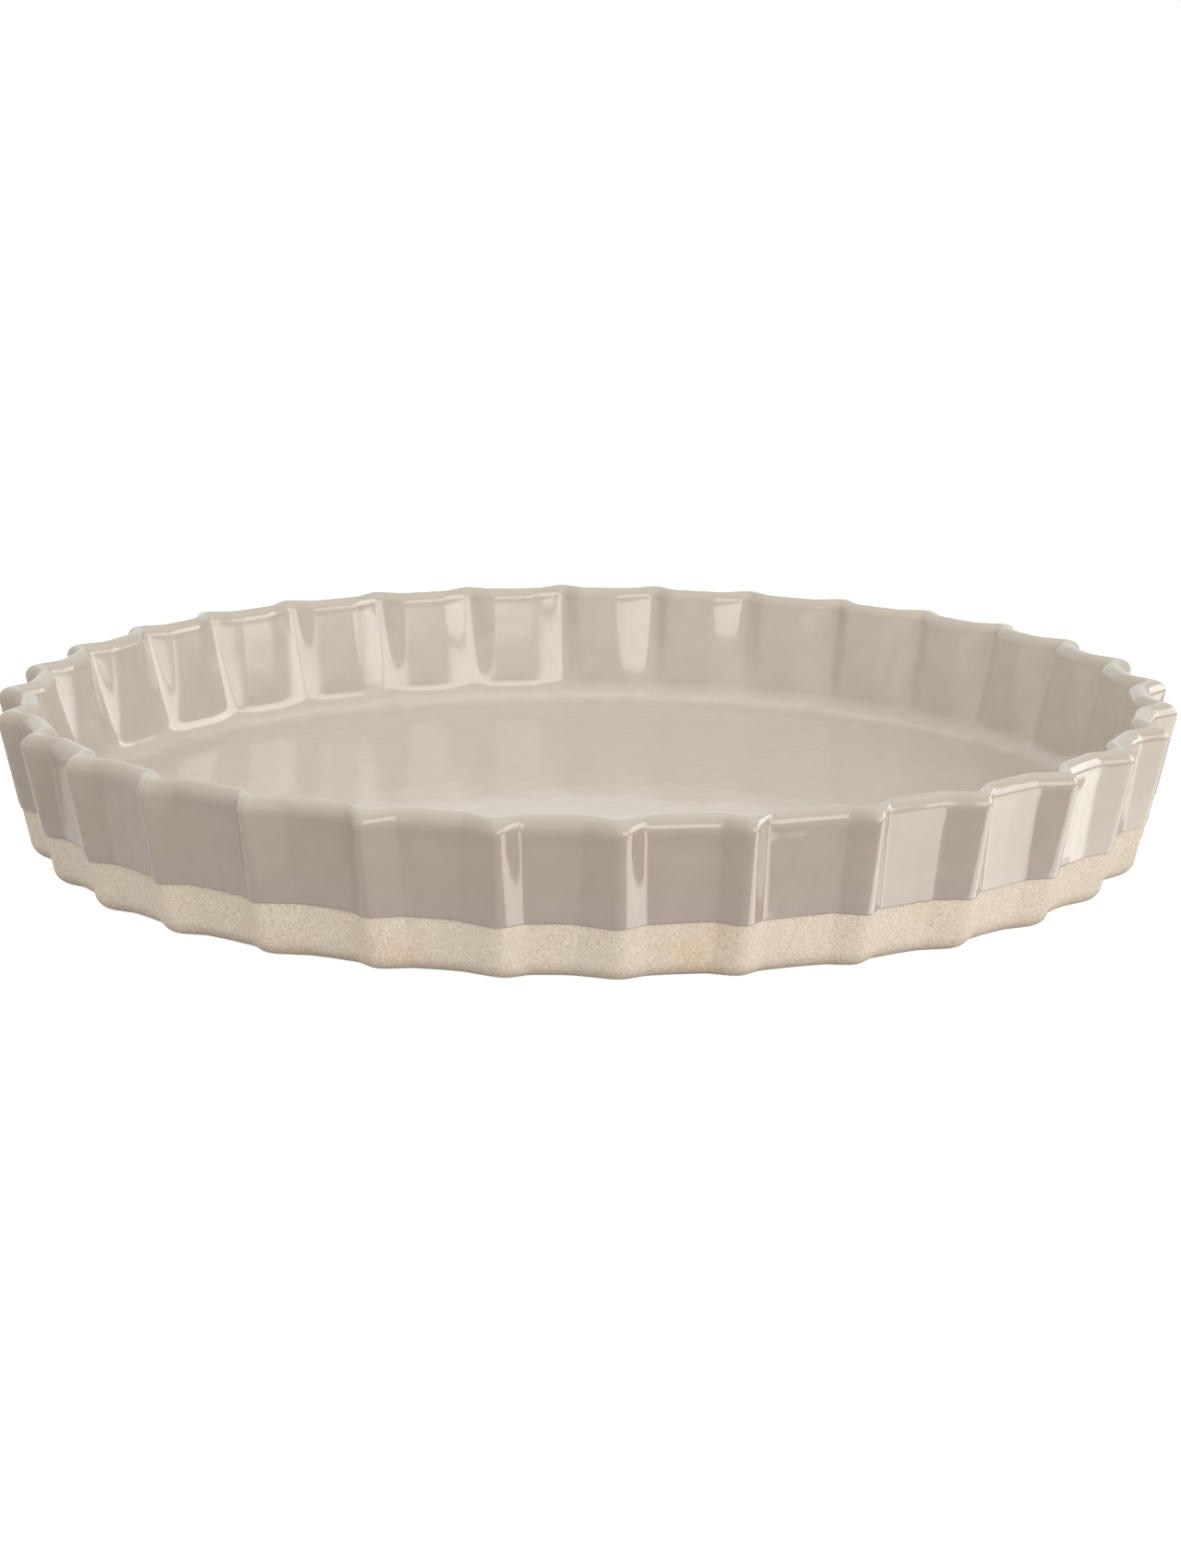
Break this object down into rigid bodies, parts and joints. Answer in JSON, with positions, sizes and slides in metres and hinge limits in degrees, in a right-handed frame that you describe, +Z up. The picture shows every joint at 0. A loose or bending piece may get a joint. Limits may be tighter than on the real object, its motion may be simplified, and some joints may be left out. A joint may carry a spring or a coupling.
{
  "type": "fluted quiche dish",
  "caption": "Round shallow stoneware baking dish with a fluted wall, glazed inside, over the rim and down the outside to a bare clay band above its foot.",
  "frame": {"origin": "centre of the dish, on the plane that its foot stands on", "axes": "+Z up along the dish's axis; a flute's crown faces each of +X, +Y, -X and -Y"},
  "size_m": [0.28, 0.28, 0.0355],
  "materials": {
    "stoneware": "bare fired clay, matt and slightly sandy",
    "glaze": "glossy grey-beige glaze with a fine speckle"
  },
  "bodies": {
    "root": {"stoneware_body": "stoneware", "glaze_coat": "glaze"}
  },
  "joints": []
}
